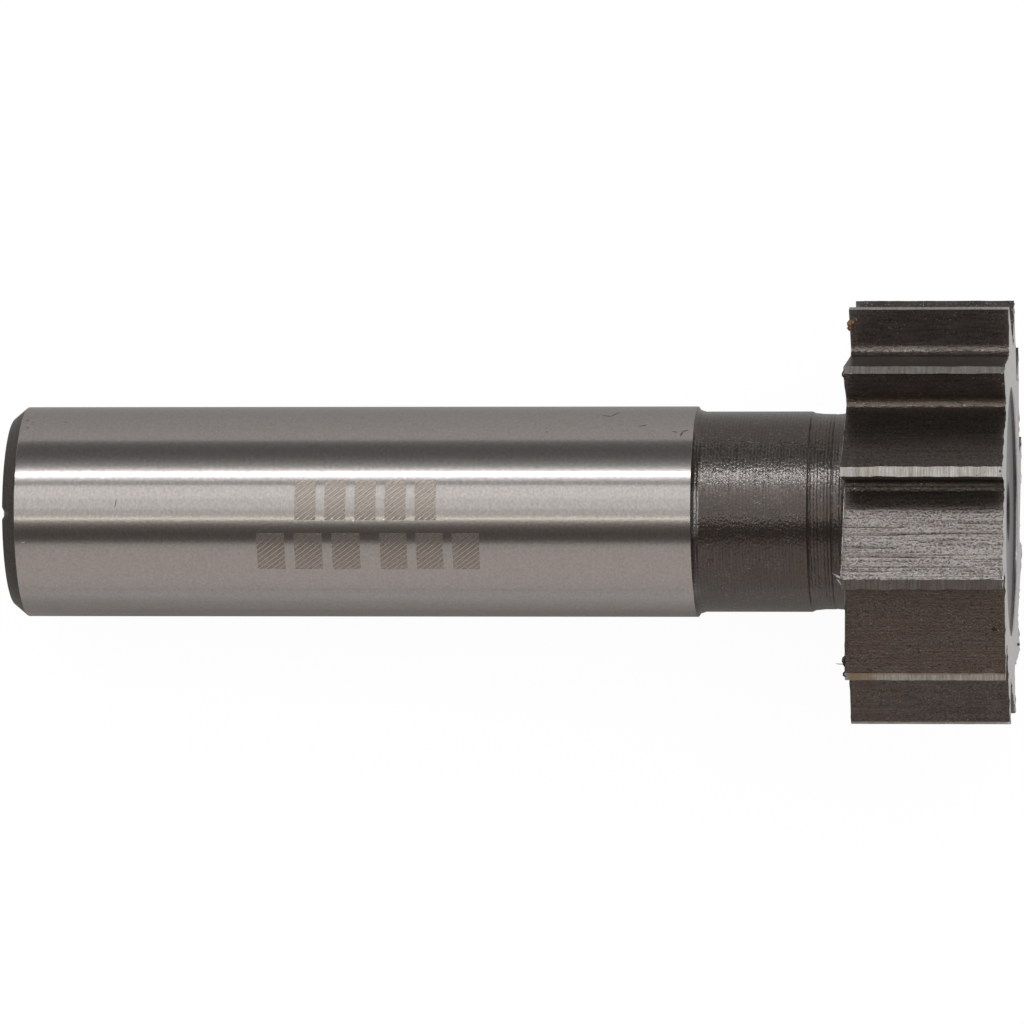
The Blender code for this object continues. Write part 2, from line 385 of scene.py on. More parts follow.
def carriedProfile(corners, size):
    # a profile (along, out) with each corner rounded by its radius, and points no further apart than a row's step
    points = np.array([[x, r] for x, r, _ in corners], float)
    pieces = [points[:1]]
    for i in range(1, len(corners) - 1):
        radius = corners[i][2]
        steps = size["wideSteps"] if radius > size["wideCorner"] else size["smallSteps"]
        pieces.append(roundCorner(points[i], points[i - 1], points[i + 1], radius, steps) if radius
                      else points[i:i + 1])
    pieces.append(points[-1:])
    path = np.concatenate(pieces)
    dense = [path[:1]]
    for start, end in zip(path, path[1:]):
        count = max(1, math.ceil(np.linalg.norm(end - start) / size["rowStep"]))
        dense.append(start + np.linspace(0, 1, count + 1)[1:, None] * (end - start))
    return np.concatenate(dense)


def faceDepth(radius, dish):
    # how far a hollow-ground face lies inside the plane of the tooth tips: a cone, "dish" deep at the relief's radius
    return dish * (1 - radius / teeth["tip"]) / (1 - turning["relief"] / teeth["tip"])


def centreHole(face, inwards, size):
    # a centre drilling's profile from its tip on the axis to its mouth: each length is a radius over a tangent
    cone = (size["centreMouth"] - size["centrePilot"]) / math.tan(size["coneHalf"])
    bottom = cone + size["pilotLong"]
    tip = bottom + size["centrePilot"] / math.tan(size["tipHalf"])
    return [(face + inwards * tip, 0, 0), (face + inwards * bottom, size["centrePilot"], 0),
            (face + inwards * cone, size["centrePilot"], 0), (face, size["centreMouth"], 0.05)]


def outlines(size):
    # the two turned outlines (along, out, corner radius): shank and neck up to the root ring, and the front face
    ring = size["rootRing"]
    footX = size["headStart"] + faceDepth(size["relief"] + size["neckFillet"], size["backDish"])
    backX = size["headStart"] + faceDepth(ring, size["backDish"])
    frontX = size["headEnd"] - faceDepth(ring, size["frontDish"])
    recessX = size["headEnd"] - faceDepth(size["recess"], size["frontDish"])
    floorX = recessX - size["recessDeep"]
    markStart = size["toolMark"] - size["toolMarkWide"] / 2
    stepDrop = size["stepShare"] * (size["neck"] - size["relief"])
    back = centreHole(0, 1, size) + [
        (0, size["shank"] - size["chamferDeep"], 0.06), (size["chamferLong"], size["shank"], 0.05),
        (size["shankEnd"], size["shank"], 0.03), (size["rimStart"], size["rimRadius"], 0.2),
        (size["neckStart"], size["neck"], 0.2), (size["reliefStart"], size["neck"], 0.03),
        (size["reliefStart"] + size["reliefStep"], size["neck"] - stepDrop, 0.04),
        (size["reliefEnd"], size["relief"], 0.3), (markStart, size["relief"], 0),
        (size["toolMark"], size["relief"] - size["toolMarkDeep"], 0.03),
        (markStart + size["toolMarkWide"], size["relief"], 0),
        (footX, size["relief"], size["neckFillet"]), (backX, ring, 0)]
    front = [(frontX, ring, 0), (recessX, size["recess"], 0.08), (floorX, size["recess"], 0.12)]
    front += centreHole(floorX, -1, size)[::-1]
    return carriedProfile(back, size), carriedProfile(front, size)


def smoothNoise(random, rows, columns, reach):
    # random heights smoothed along the rows by a running mean, brought back to a spread of about one
    raw = random.normal(size=(rows + 2 * reach, columns))
    kernel = np.ones(2 * reach + 1) / (2 * reach + 1)
    smooth = np.apply_along_axis(np.convolve, 0, raw, kernel, "valid")
    return smooth * math.sqrt(2 * reach + 1)


def cutterSurface(size, tooth, fault):
    # a closed grid: rows run along the cutter's outline from pole to pole, columns run round it.
    # a row is a circle, or on the head a ring: the root circle times one less the blend, plus the rim times the blend
    pitchPoints, pitchAngles, pitchKinds, firstEdge = toothPitch(tooth)
    starts = firstEdge + 2 * math.pi / tooth["count"] * np.arange(tooth["count"])
    rim = np.concatenate([turned(pitchPoints, start) for start in starts])
    around = np.concatenate([pitchAngles + start for start in starts])
    kinds = np.tile(pitchKinds, tooth["count"])
    perPitch = len(pitchKinds)
    backProfile, frontProfile = outlines(size)

    faceRows, sideRows = size["faceRows"], size["sideRows"]
    rise = np.linspace(0, 1, faceRows)[1:]
    edgeBreak = tooth["edgeBreak"] / tooth["tip"]
    blend = np.concatenate([rise * (1 - edgeBreak), np.ones(sideRows), rise[::-1] * (1 - edgeBreak)])[:, None]
    ring = size["rootRing"]
    ringY = (1 - blend) * ring * np.sin(around) + blend * rim[:, 0]
    ringZ = (1 - blend) * ring * np.cos(around) + blend * rim[:, 1]

    random = np.random.default_rng(fault["seed"])
    side = slice(faceRows - 1, faceRows - 1 + sideRows)
    for first in (0, perPitch - tooth["columns"]["land"]):
        wave = smoothNoise(random, sideRows, tooth["count"], 1) * fault["edgeWave"]
        ringY[side, first::perPitch] += wave * np.cos(around[first::perPitch])
        ringZ[side, first::perPitch] -= wave * np.sin(around[first::perPitch])

    ringRadius = np.hypot(ringY, ringZ)
    backWall = size["headStart"] + faceDepth(ringRadius, size["backDish"])
    frontWall = size["headEnd"] - faceDepth(ringRadius, size["frontDish"])
    share = np.clip(np.linspace(0, 1, sideRows), fault["rimBreak"], 1 - fault["rimBreak"])
    across = np.concatenate([np.zeros(faceRows - 1), share, np.ones(faceRows - 1)])[:, None]
    ringX = backWall + across * (frontWall - backWall)
    burr = random.random((2, len(around))) ** 3      # most are low, a few stand up
    ringX[side.start] -= burr[0] * fault["backBurr"]
    ringX[side.stop - 1] += burr[1] * fault["frontBurr"]

    def circles(profile):
        # each point of the profile carried round the axis: out times the sine and the cosine of the turn
        x = np.repeat(profile[:, :1], len(around), axis=1)
        return np.stack([x, profile[:, 1:] * np.sin(around), profile[:, 1:] * np.cos(around)], -1)

    shankSide = circles(backProfile)
    toCorner = np.hypot(backProfile[:, 0], backProfile[:, 1] - (size["shank"] - size["chamferDeep"]))
    turn = np.abs((around - fault["nickAround"] + math.pi) % (2 * math.pi) - math.pi)
    nick = np.clip(1 - toCorner / fault["nickReach"], 0, 1)[:, None] * np.clip(1 - turn / fault["nickWide"], 0, 1)
    shankSide[:, :, 0] += nick * fault["nickDeep"]
    shankSide[:, :, 1:] *= (1 - fault["nickInwards"] * nick * fault["nickDeep"] / size["shank"])[:, :, None]

    grid = np.concatenate([shankSide, np.stack([ringX, ringY, ringZ], -1), circles(frontProfile)])
    return grid, kinds, len(backProfile), len(ringX)


def meshFromGrids(name, grids):
    # quads between neighbouring rows and columns, the columns wrap, and each end row closes on one pole
    points, faces, start = [], [], 0
    for grid in grids:
        rows, columns = grid.shape[:2]
        points.append(np.concatenate([grid[:1, 0], grid[1:-1].reshape(-1, 3), grid[-1:, 0]]))
        index = start + 1 + np.arange((rows - 2) * columns).reshape(rows - 2, columns)
        after = np.roll(index, -1, axis=1)
        quads = np.stack([index[:-1], index[1:], after[1:], after[:-1]], -1).reshape(-1, 4)
        pole = start + len(points[-1]) - 1
        firstCap = np.stack([np.full(columns, start), index[0], after[0]], -1)
        lastCap = np.stack([np.full(columns, pole), after[-1], index[-1]], -1)
        faces += [*map(tuple, firstCap), *map(tuple, quads), *map(tuple, lastCap)]
        start = pole + 1
    world = np.concatenate(points) * mm @ np.array(cutterTurn).T + np.array(shankEnd)
    mesh = bpy.data.meshes.new(name)
    mesh.from_pydata(world, [], faces)
    return mesh


def partColumns(part, number):
    # the grid's columns of one tooth's back, root, rake or land: its back lies in the pitch after its own
    widths = teeth["columns"]
    perPitch = sum(widths.values())
    pitchStart = ((nearestTooth + number) % teeth["count"]) * perPitch
    spans = {"back": (perPitch, perPitch + widths["back"] + 1),
             "root": (widths["back"], widths["back"] + widths["root"] + 1),
             "rake": (widths["back"] + widths["root"], perPitch - widths["land"] + 1),
             "land": (perPitch - widths["land"], perPitch + 1)}
    first, last = spans[part]
    return (pitchStart + np.arange(first, last)) % (perPitch * teeth["count"])


def makeCutter():
    # the whole tool as one closed surface. a face's finish goes by where its row lies on the outline, and on the
    # teeth by its column. a point's stain, bare steel and scale are the most that a worn spot gives, faded at its ends,
    # and the painted highlight stripes on the neck and rim are laid into the bare steel value
    grid, kinds, backRows, headRows = cutterSurface(turning, teeth, faults)
    mesh = meshFromGrids("cutter_body", [grid])
    rows, columns = grid.shape[:2]
    finish = {name: number for number, name in enumerate(finishes)}

    along = grid[:, 0, 0]
    middle = (along[:-1] + along[1:]) / 2
    radius = np.linalg.norm(grid[:, :, 1:], axis=2).max(axis=1)
    outer = np.maximum(radius[:-1], radius[1:])
    row = np.arange(rows)
    onBack = row[:-1] < backRows - 1
    onFront = row[:-1] >= backRows + headRows - 1
    slack = 0.01
    zones = np.full(rows - 1, finish["turnedEnd"])
    zones[onBack & (middle > turning["chamferLong"]) & (outer > turning["neck"])] = finish["groundShank"]
    zones[onBack & (middle > turning["shankEnd"])] = finish["turnedNeck"]
    zones[onBack & (middle > turning["reliefEnd"]) & (outer > turning["groundFrom"])] = finish["groundFace"]
    zones[~onBack] = finish["groundFace"]
    zones[onFront & (outer <= turning["recess"] + slack)] = finish["turnedRecess"]
    zones[onFront & (outer < turning["centrePilot"] + slack)] = finish["turnedEnd"]
    material = np.repeat(zones[:, None], columns, axis=1)
    sideStart = backRows + turning["faceRows"] - 1
    sideFinish = np.array([finish[name] for name in ("milledBack", "milledRoot", "milledRake", "groundLand")])
    material[sideStart:sideStart + turning["sideRows"] - 1] = sideFinish[kinds]
    mesh.polygons.foreach_set("material_index", material.ravel())

    turnFromLens = np.arctan2(grid[..., 1], grid[..., 2]) - cameraView["roll"]
    onTeeth = (row >= sideStart) & (row < sideStart + turning["sideRows"])
    for name in ("stain", "bare", "scale"):
        value = np.zeros((rows, columns))
        for spot in toothWear:
            start, end = spot.get("along", wearEdges["wholeHead"])
            toEnd = np.minimum(along - start, end - along)
            amount = spot.get(name, 0) * np.clip(toEnd / wearEdges["endFade"], 0, 1) * onTeeth
            where = partColumns(spot["part"], spot["tooth"])
            toRoot = 1 - np.arange(len(where)) / len(where)
            fade = np.clip((toRoot - spot["spare"]) / wearEdges["rootFade"], 0, 1) if "spare" in spot else 1.0
            value[:, where] = np.maximum(value[:, where], amount[:, None] * fade)
        # painted highlights: the neck and rim stripes set the bare steel value, so they are drawn lighter there
        for spot in paintedHighlightStripes if name == "bare" else []:
            inside = (along > spot["along"][0]) & (along < spot["along"][1])
            offMiddle = (turnFromLens[inside] - spot["around"]) / spot["half"]
            value[inside] = spot["bare"] * np.clip(1 - offMiddle ** 2, 0, 1)
        layer = mesh.attributes.new(name, "FLOAT", "POINT")
        layer.data.foreach_set("value", np.concatenate([[0], value[1:-1].ravel(), [0]]))

    mesh.shade_smooth()
    mesh.set_sharp_from_angle(angle=turning["sharpFrom"])
    body = bpy.data.objects.new("cutter_body", mesh)
    scene.collection.objects.link(body)
    return body


# burrs, chips and crumbs left on the edges of the teeth. each is a closed tube: its half width, its end's share of
# that, how much noise swells it, and a smooth path by mm along the cutter, up the picture and towards the lens
burrs = {
    "burrSteel": [
        (0.13, 0.1, 0.3, [(51.1, -3.95, 12.2), (50.75, -3.85, 12.3), (50.42, -3.55, 12.25)]),
        (0.1, 0.4, 0.4, [(51.02, -4.3, 12.15), (50.85, -4.1, 12.25), (50.72, -3.95, 12.2)]),
        (0.04, 0.7, 0.4, [(51.05, 8.05, 9.85), (50.94, 8.14, 9.92)]),
        (0.07, 0.8, 0.5, [(51.02, 7.72, 9.42), (51.08, 7.84, 9.5)]),
        (0.04, 0.6, 0.5, [(51.3, 8.15, 9.98), (51.55, 8.2, 9.98)]),
        (0.06, 0.8, 0.5, [(60.32, 8.13, 10.0), (60.4, 8.2, 10.02)]),
        (0.07, 0.7, 0.5, [(60.34, 2.45, 12.75), (60.42, 2.4, 12.75)]),
        (0.05, 0.6, 0.5, [(60.4, -3.3, 12.3), (60.46, -3.75, 12.25), (60.44, -4.1, 12.15)]),
    ],
    "burrDark": [
        (0.1, 0.5, 0.5, [(50.98, -8.55, 8.65), (50.86, -8.75, 8.8), (50.9, -9.05, 8.75), (50.98, -9.2, 8.6)]),
        (0.03, 0.5, 0.3, [(51.0, -9.0, 8.7), (50.7, -9.08, 8.75), (50.42, -8.98, 8.8)]),
        (0.06, 0.6, 0.4, [(51.02, -9.45, 8.55), (50.82, -9.6, 8.75), (50.9, -9.85, 8.7), (51.14, -9.72, 8.7)]),
        (0.09, 0.8, 0.5, [(60.44, -8.12, -7.4), (60.58, -8.05, -7.5)]),
        (0.09, 0.7, 0.6, [(59.72, -6.9, 9.0), (59.98, -7.05, 8.98)]),
        (0.065, 0.7, 0.5, [(51.04, 7.95, 9.72), (50.93, 8.0, 9.85), (50.9, 8.2, 9.92), (51.02, 8.38, 9.82)]),
    ],
    "brownCrumb": [
        (0.2, 0.9, 0.45, [(51.3, 11.38, 4.26), (51.02, 11.28, 4.24), (50.92, 11.06, 4.18)]),
        (0.17, 0.8, 0.45, [(51.1, 11.1, 4.2), (50.9, 10.98, 4.16), (51.1, 10.84, 4.08)]),
        (0.08, 0.8, 0.6, [(51.34, 11.5, 4.34), (51.46, 11.36, 4.28)]),
        (0.05, 0.8, 0.6, [(51.36, 11.0, 4.14), (51.5, 10.94, 4.12)]),
        (0.1, 0.8, 0.6, [(60.36, 7.66, 9.35), (60.44, 7.5, 9.2)]),
        (0.07, 0.8, 0.6, [(60.02, -7.0, 8.98), (60.2, -7.1, 8.96)]),
        (0.05, 0.8, 0.6, [(60.1, -6.8, 9.0), (60.16, -6.86, 9.0)]),
    ],
}


# the grid of one burr, a direction that none of them runs along, and how far and how strongly noise swells it
burrShape = {"rows": 16, "columns": 14, "offPath": (0.31, 0.2, 0.93), "noiseReach": 1.5, "noiseShare": 0.6}


def burrGrid(burr, random, shape):
    # the path is a Bernstein curve through its first and last points. the tube's width swells as the square root
    # of the sine of the way along, times one less the loss of width so far, times one plus noise
    rows, columns = shape["rows"], shape["columns"]
    t = np.linspace(0, 1, rows)[:, None]
    thick, thin, lumpy, path = burr
    last = len(path) - 1
    weights = np.hstack([math.comb(last, i) * t ** i * (1 - t) ** (last - i) for i in range(last + 1)])
    along, up, facing = (weights @ np.array(path)).T
    c, s = math.cos(cameraView["roll"]), math.sin(cameraView["roll"])
    spine = np.stack([along, facing * s + up * c, facing * c - up * s], -1)
    heading = np.gradient(spine, axis=0)
    heading /= np.linalg.norm(heading, axis=1)[:, None]
    side = np.cross(heading, shape["offPath"])
    side /= np.linalg.norm(side, axis=1)[:, None]
    other = np.cross(heading, side)
    swell = np.sqrt(np.sin(np.pi * t).clip(0)) * (1 - (1 - thin) * t)
    lumps = random.normal(size=(rows, columns)).clip(-shape["noiseReach"], shape["noiseReach"])
    width = (thick * swell * (1 + lumpy * lumps * shape["noiseShare"]))[:, :, None]
    angle = -2 * np.pi * np.arange(columns)[:, None] / columns
    return spine[:, None] + width * (np.cos(angle) * side[:, None] + np.sin(angle) * other[:, None])


def steelCoordinates(tree):
    # object coordinates less the shank's end, turned back by the cutter's tilt and counted in mm
    place = addNode(tree, "TexCoord").outputs["Object"]
    local = addNode(tree, "VectorMath", {0: place, 1: tuple(shankEnd)}, operation="SUBTRACT")
    tilt = math.atan2(alongCutter.z, alongCutter.x)
    return addNode(tree, "Mapping", {"Vector": local, "Rotation": (0, tilt, 0), "Scale": (1 / mm,) * 3})


def fromAxis(tree, place):
    # the distance from the cutter's axis: the length of the place without its part along the axis
    offAxis = addNode(tree, "VectorMath", {0: place, 1: (0, 1, 1)}, operation="MULTIPLY")
    return addNode(tree, "VectorMath", {0: offAxis}, operation="LENGTH")


def unrolled(tree, place, radius):
    # along the cutter, and the arc round it from the side that lies uppermost: the angle times the radius, both in mm
    split = addNode(tree, "SeparateXYZ", {"Vector": place}).outputs
    angle = addNode(tree, "Math", {0: split["Y"], 1: split["Z"]}, operation="ARCTAN2")
    arc = addNode(tree, "Math", {0: angle, 1: radius}, operation="MULTIPLY")
    return addNode(tree, "CombineXYZ", {"X": split["X"], "Y": arc})


def noisePattern(tree, place, perMm, detail=2.0, span=None, top=1.0):
    # noise of the place times perMm, so its features are about one mm over each of those numbers. with a span it is
    # 0 below the span's first number, top above its second, and top times the share of the way between them
    scaled = addNode(tree, "VectorMath", {0: place, 1: perMm}, operation="MULTIPLY")
    noise = addNode(tree, "TexNoise", {"Vector": scaled, "Scale": 1.0, "Detail": detail})
    return noise if span is None else addNode(tree, "MapRange", {
        "Value": noise, "From Min": span[0], "From Max": span[1], "To Max": top})


def layColours(tree, base, layers):
    # lays tints over a base in turn: what is there times one less the share, plus the tint times the share
    colour = linearColour(base)
    for tint, share in layers:
        over = linearColour(tint) if isinstance(tint, str) else tint
        colour = addNode(tree, "Mix", {0: share, 6: colour, 7: over}, data_type="RGBA")
    return colour


def steelTone(tree, place, look, shared):
    # grain times one less "lineShare", plus lines times it. the second result is that, spread over 0 to 1
    lines = noisePattern(tree, place, look["lines"])
    grain = noisePattern(tree, place, look["grain"], shared["grainDetail"])
    tone = addNode(tree, "Mix", {0: look["lineShare"], 2: grain, 3: lines})
    low, high = shared["toneSpan"]
    return tone, addNode(tree, "MapRange", {"Value": tone, "From Min": low, "From Max": high})


def wearLayers(tree):
    # how stained, how bare, with the painted highlight stripes, and how scaled each point is, as makeCutter wrote it
    return [addNode(tree, "Attribute", attribute_name=name).outputs["Fac"]
            for name in ("stain", "bare", "scale")]


# scratches and specks: where along the cutter, how far round from the top, half length and half width in mm, turn in
# degrees. "share" is how much of their colour covers the steel, and "edge" where that begins and ends to fade
shankMarks = {
    "dark": {"colour": "#3A3532", "share": 0.75, "edge": (0.6, 1.1), "at": [
        (7.0, 1.02, 0.3, 0.035, 78), (36.3, 7.72, 0.34, 0.06, 165), (36.78, 8.0, 0.5, 0.055, 55),
        (38.55, 6.55, 0.3, 0.05, 25), (40.92, 5.76, 0.24, 0.065, 70), (41.12, 6.04, 0.22, 0.055, 18),
        (40.5, 5.95, 0.2, 0.045, 160), (32.8, 5.95, 0.07, 0.05, 0), (1.15, 7.25, 0.12, 0.06, 0),
        (1.55, 6.95, 0.06, 0.05, 0), (1.3, 6.4, 0.06, 0.08, 20), (3.55, 7.0, 0.12, 0.04, 0)]},
    "light": {"colour": "#F2EEE9", "share": 1.0, "edge": (0.6, 1.1), "at": [
        (1.35, -1.35, 0.14, 0.045, 0), (21.4, 0.02, 0.14, 0.03, 35), (20.1, 0.1, 0.05, 0.05, 0),
        (23.2, 0.06, 0.05, 0.05, 0)]},
}
neckMarks = {"colour": "#A39E99", "share": 0.5, "edge": (0.6, 1.1), "at": [
    (45.05, 5.12, 0.3, 0.04, -14), (45.45, 5.02, 0.22, 0.035, 20), (45.3, 7.0, 0.3, 0.035, 25)]}
# plain etched blocks in rows: first corner, pitch, height, how many, and the share of the pitch that is etched
etchedRows = [
    {"at": (17.55, 0.04), "pitch": 1.81, "high": 2.42, "count": 5, "share": 0.7},
    {"at": (15.2, -3.1), "pitch": 2.27, "high": 2.34, "count": 3, "share": 0.74},
    {"at": (22.65, -3.1), "pitch": 2.18, "high": 2.34, "count": 3, "share": 0.74},
]
# slanted stripes burnt in beside each other: pitch in mm, etched share of it, turn, depth as a share of the bump
etching = {"pitch": 0.25, "share": 0.8, "turn": 52, "deep": 1.5, "dark": "#A2978D", "light": "#C4BAB1",
           "grain": ((9, 9, 1), 1.0, (0.35, 0.65)), "roughness": 0.44}


def etchedMask(tree, flat):
    # 1 on the stripes of a block. COMPARE is 1 where a value is within reach of a middle: the fraction of the pitch,
    # the row's length, the row's height, and then the fraction of the slanted stripes' pitch
    total = 0.0
    for row in etchedRows:
        local = addNode(tree, "Mapping", {
            "Vector": flat, "Location": (*row["at"], 0), "Scale": (row["pitch"], row["high"], 1)},
            vector_type="TEXTURE")
        split = addNode(tree, "SeparateXYZ", {"Vector": local}).outputs
        cell = addNode(tree, "Math", {0: split["X"]}, operation="FRACT")
        half = row["count"] / 2
        block = 1.0
        for value, middle, reach in (cell, 0.5, row["share"] / 2), (split["X"], half, half), (split["Y"], 0.5, 0.5):
            inside = addNode(tree, "Math", {0: value, 1: middle, 2: reach}, operation="COMPARE")
            block = addNode(tree, "Math", {0: inside, 1: block}, operation="MULTIPLY")
        total = addNode(tree, "Math", {0: block, 1: total}, operation="MAXIMUM")
    slanted = addNode(tree, "Mapping", {
        "Vector": flat, "Rotation": (0, 0, math.radians(etching["turn"])), "Scale": (1 / etching["pitch"],) * 3})
    split = addNode(tree, "SeparateXYZ", {"Vector": slanted}).outputs
    stripe = addNode(tree, "Math", {0: split["X"]}, operation="FRACT")
    inStripe = addNode(tree, "Math", {0: stripe, 1: 0.5, 2: etching["share"] / 2}, operation="COMPARE")
    return addNode(tree, "Math", {0: total, 1: inStripe}, operation="MULTIPLY")


def marksMask(tree, flat, marks):
    # the share inside any of the marks, each an ellipse: its length in its own turned and scaled axes is under 1
    total = 0.0
    for along, around, halfLong, halfWide, turn in marks["at"]:
        local = addNode(tree, "Mapping", {
            "Vector": flat, "Location": (along, around, 0), "Rotation": (0, 0, math.radians(turn)),
            "Scale": (halfLong, halfWide, 1)}, vector_type="TEXTURE")
        reach = addNode(tree, "VectorMath", {0: local}, operation="LENGTH")
        inside = addNode(tree, "MapRange", {
            "Value": reach, "From Min": marks["edge"][0], "From Max": marks["edge"][1],
            "To Min": marks["share"], "To Max": 0})
        total = addNode(tree, "Math", {0: inside, 1: total}, operation="MAXIMUM")
    return total


# bare high speed steel, ground with a fine wheel: bright, with hair lines round the cutter that draw every
# reflection out along it. "lines" and "grain" are a noise's features per mm along, across and up, and "depth" the
# bump's height in mm. the real lines are some 0.03 mm apart and are drawn at 0.08 mm or more, so that they show
groundSteels = {
    "groundShank": {
        "dark": "#AFAAA7", "light": "#BDB8B5", "stain": "#A39784", "patch": 0.05, "dots": 0.1, "roughness": 0.19,
        "drawn": 0.8, "lines": (13, 1.2, 1.2), "lineShare": 0.25, "grain": (6.5, 5.5, 5.5), "depth": 0.0022},
    "groundFace": {
        "dark": "#ACACAB", "light": "#C2C1C0", "stain": "#A39784", "patch": 0.1, "dots": 0.2, "roughness": 0.3,
        "drawn": 0.3, "lines": (1, 7, 0.9), "lineShare": 0.5, "grain": (5, 5, 5), "depth": 0.002},
    "groundLand": {
        "dark": "#928E8A", "light": "#C6C3C0", "stain": "#94836F", "patch": 0.3, "dots": 0.7, "roughness": 0.24,
        "drawn": 0.5, "lines": (9, 0.35, 0.35), "lineShare": 0.7, "grain": (12, 2.5, 2.5), "depth": 0.004},
    "turnedRecess": {
        "dark": "#7B7979", "light": "#9F9D9C", "stain": "#5C564F", "patch": 0.2, "dots": 0.3, "roughness": 0.42,
        "drawn": 0.3, "lines": (1, 5, 5), "lineShare": 0.5, "grain": (5, 3, 3), "depth": 0.006},
}
# what those zones share. a pattern is its features per mm, its detail, and the noise it fades in between
groundShared = {
    "grainDetail": 2.0, "toneSpan": (0.34, 0.66), "blotch": ((1.1, 1.1, 1.1), 3.0, (0.4, 0.62)),
    "dots": ((4.5, 4.5, 4.5), 1.0, (0.7, 0.76)), "dotColour": "#5B4636", "scaleColour": "#474442",
}
# painted shade: the recess is darkened towards the table, between two heights over the axis. on its wall, "wall" mm
# wide, less than on its floor
recessPaintedShade = {"colour": "#434140", "heights": (4.5, -4.0), "wall": (0.05, 0.2), "wallShare": 0.6}


def makeGroundSteel(name, look):
    # tone picks between two steel colours, and stains, scale and dots lie over them. the shank has the etched blocks
    # and the marks as well. the bump is the tone's, less the etching's, and reflections are drawn out along the axis
    material, tree = newMaterial(name)
    place = steelCoordinates(tree)
    height, toneShare = steelTone(tree, place, look, groundShared)
    stained, _, scaled = wearLayers(tree)
    blotch = noisePattern(tree, place, *groundShared["blotch"], look["patch"])
    stains = addNode(tree, "Math", {0: stained, 1: blotch}, operation="ADD")
    dots = noisePattern(tree, place, *groundShared["dots"], look["dots"])
    layers = [(look["light"], toneShare), (look["stain"], stains), (groundShared["scaleColour"], scaled),
              (groundShared["dotColour"], dots)]
    roughness = look["roughness"]
    if name == "groundShank":
        flat = unrolled(tree, place, turning["shank"])
        etched = etchedMask(tree, flat)
        burnt = layColours(tree, etching["dark"], [(etching["light"], noisePattern(tree, flat, *etching["grain"]))])
        layers.append((burnt, etched))
        layers += [(marks["colour"], marksMask(tree, flat, marks)) for marks in shankMarks.values()]
        roughness = addNode(tree, "Mix", {0: etched, 2: roughness, 3: etching["roughness"]})
        height = addNode(tree, "Math", {
            0: etched, 1: -etching["deep"], 2: height}, operation="MULTIPLY_ADD")
    # painted shade: the recess darkened towards the table, less on its wall
    if name == "turnedRecess":
        start, end = recessPaintedShade["wall"]
        onFloor = addNode(tree, "MapRange", {
            "Value": fromAxis(tree, place), "From Min": turning["recess"] - start, "From Max": turning["recess"] - end,
            "To Min": recessPaintedShade["wallShare"]})
        start, end = recessPaintedShade["heights"]
        above = addNode(tree, "SeparateXYZ", {"Vector": place}).outputs["Z"]
        layers.append((recessPaintedShade["colour"], addNode(tree, "MapRange", {
            "Value": above, "From Min": start, "From Max": end, "To Max": onFloor})))

    bump = addNode(tree, "Bump", {"Height": height, "Strength": 1.0, "Distance": look["depth"] * mm})
    axis = addNode(tree, "CombineXYZ", dict(zip("XYZ", alongCutter)))
    shader = addNode(tree, "BsdfPrincipled", {
        "Base Color": layColours(tree, look["dark"], layers), "Metallic": 1.0, "Roughness": roughness,
        "Anisotropic": look["drawn"], "Tangent": axis, "Normal": bump})
    addNode(tree, "OutputMaterial", {"Surface": shader})
    return material


# the same steel where the black scale of hardening is left on: dull, brownish, half mirror, with the marks of
# the turning tool or the milling cutter under it. "feed" is the turned pitch in mm, "ridge" the feed marks' share
# of the bump, "depth" the bump's full height in mm, and "oil" a thin film that mirrors more sharply. the grain of the
# real scale is some 0.03 mm and is drawn at about 0.13 mm, so that it shows
scaledSteels = {
    "turnedEnd": {
        "dark": "#57524F", "light": "#6D6865", "brown": "#62574E", "patch": 0.3, "speck": 0.1, "pit": 0.2,
        "roughness": 0.34, "lines": (11, 0.5, 0.5), "lineShare": 0.5, "grain": (7, 7, 7), "feed": 0.11, "ridge": 0.25,
        "depth": 0.01},
    "turnedNeck": {
        "dark": "#46403C", "light": "#5F5651", "brown": "#5B4A41", "patch": 0.5, "speck": 0.5, "pit": 0.1,
        "roughness": 0.21, "lines": (9, 0.8, 0.8), "lineShare": 0.35, "grain": (9, 6, 6), "feed": 0.2, "ridge": 0.4,
        "depth": 0.075, "torn": (0.4, 0.5), "oil": 0.75, "oilRoughness": 0.12},
    "milledBack": {
        "dark": "#48433F", "light": "#68615D", "brown": "#68574F", "patch": 0.2, "speck": 0.42, "pit": 0.5,
        "roughness": 0.32, "lines": (0.2, 7, 7), "lineShare": 0.38, "grain": (7, 8, 8), "depth": 0.04},
    "milledRoot": {
        "dark": "#4F4945", "light": "#736C67", "brown": "#66574B", "patch": 0.3, "speck": 0.9, "pit": 0.7,
        "roughness": 0.26, "lines": (1.2, 6, 6), "lineShare": 0.3, "grain": (7, 8, 8), "depth": 0.085},
    "milledRake": {
        "dark": "#524D4A", "light": "#706A66", "brown": "#5F5249", "patch": 0.3, "speck": 0.8, "pit": 0.4,
        "roughness": 0.36, "lines": (0.6, 5, 5), "lineShare": 0.5, "grain": (8, 8, 8), "depth": 0.03},
}
